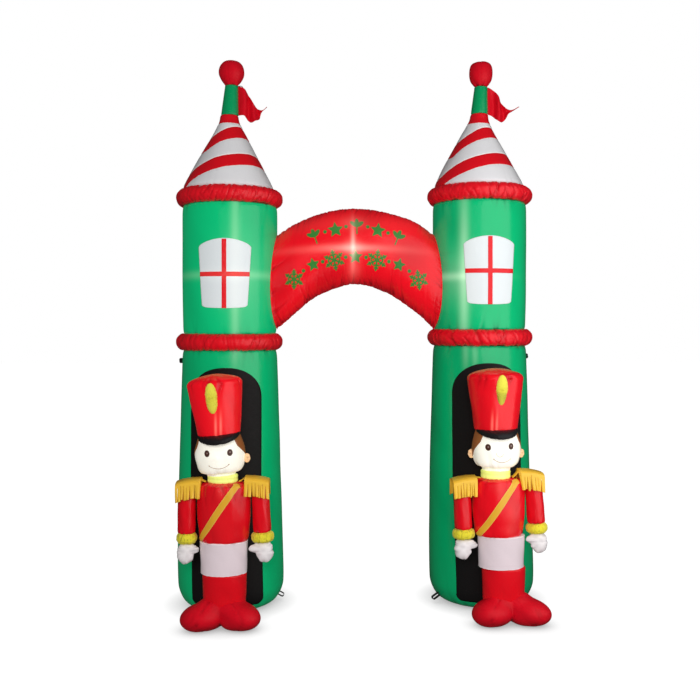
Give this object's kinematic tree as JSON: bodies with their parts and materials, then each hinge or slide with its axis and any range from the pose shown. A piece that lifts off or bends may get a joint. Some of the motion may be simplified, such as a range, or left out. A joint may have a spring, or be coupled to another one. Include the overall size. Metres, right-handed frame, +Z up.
{
  "type": "inflatable arch",
  "caption": "Inflatable yard archway: towers with striped roofs and pennants joined by a padded arch, with toy soldiers standing guard at the foot.",
  "frame": {"origin": "on the ground, at the middle of the footprint of towers and soldiers", "axes": "+Z up, +X from the left tower to the right one as seen from the front, +Y from the soldiers towards the towers, so the front faces -Y"},
  "size_m": [2.0086, 0.8532, 3.0555],
  "materials": {
    "black_nylon": "matt black woven nylon",
    "face_cloth": "cream woven nylon with a printed face",
    "gold_satin": "gold satin with a soft sheen",
    "green_nylon": "glossy woven nylon, smooth and lit from inside",
    "lime_nylon": "pale lime woven nylon",
    "red_nylon": "glossy woven nylon, lit from inside",
    "striped_nylon": "white woven nylon with printed red stripes that climb round the roof",
    "webbing": "black polyester webbing",
    "white_nylon": "white woven nylon with a slight lilac cast",
    "window_cloth": "white woven nylon with printed red bars",
    "yellow_plush": "short bright yellow plush"
  },
  "bodies": {
    "root": {"arch_tube": "red_nylon", "left_ball": "red_nylon", "left_boots": "red_nylon", "left_collar": "lime_nylon", "left_cuff_l": "yellow_plush", "left_cuff_r": "yellow_plush", "left_door": "black_nylon", "left_drum": "green_nylon", "left_epaulette_l": "gold_satin", "left_epaulette_r": "gold_satin", "left_flag": "red_nylon", "left_glove_l": "white_nylon", "left_glove_r": "white_nylon", "left_hat": "red_nylon", "left_head": "face_cloth", "left_jacket": "red_nylon", "left_mast": "green_nylon", "left_mast_tab": "webbing", "left_plume": "yellow_plush", "left_ring_low": "red_nylon", "left_ring_top": "red_nylon", "left_roof": "striped_nylon", "left_sash": "gold_satin", "left_side_tab": "webbing", "left_sleeve_l": "red_nylon", "left_sleeve_r": "red_nylon", "left_stake_loop": "webbing", "left_tower_base": "green_nylon", "left_trousers": "white_nylon", "left_visor": "black_nylon", "left_window": "window_cloth", "right_ball": "red_nylon", "right_boots": "red_nylon", "right_collar": "lime_nylon", "right_cuff_l": "yellow_plush", "right_cuff_r": "yellow_plush", "right_door": "black_nylon", "right_drum": "green_nylon", "right_epaulette_l": "gold_satin", "right_epaulette_r": "gold_satin", "right_flag": "red_nylon", "right_glove_l": "white_nylon", "right_glove_r": "white_nylon", "right_hat": "red_nylon", "right_head": "face_cloth", "right_jacket": "red_nylon", "right_mast": "green_nylon", "right_plume": "yellow_plush", "right_ring_low": "red_nylon", "right_ring_top": "red_nylon", "right_roof": "striped_nylon", "right_sash": "gold_satin", "right_side_tab": "webbing", "right_sleeve_l": "red_nylon", "right_sleeve_r": "red_nylon", "right_stake_loop": "webbing", "right_tower_base": "green_nylon", "right_trousers": "white_nylon", "right_visor": "black_nylon", "right_window": "window_cloth"}
  },
  "joints": []
}
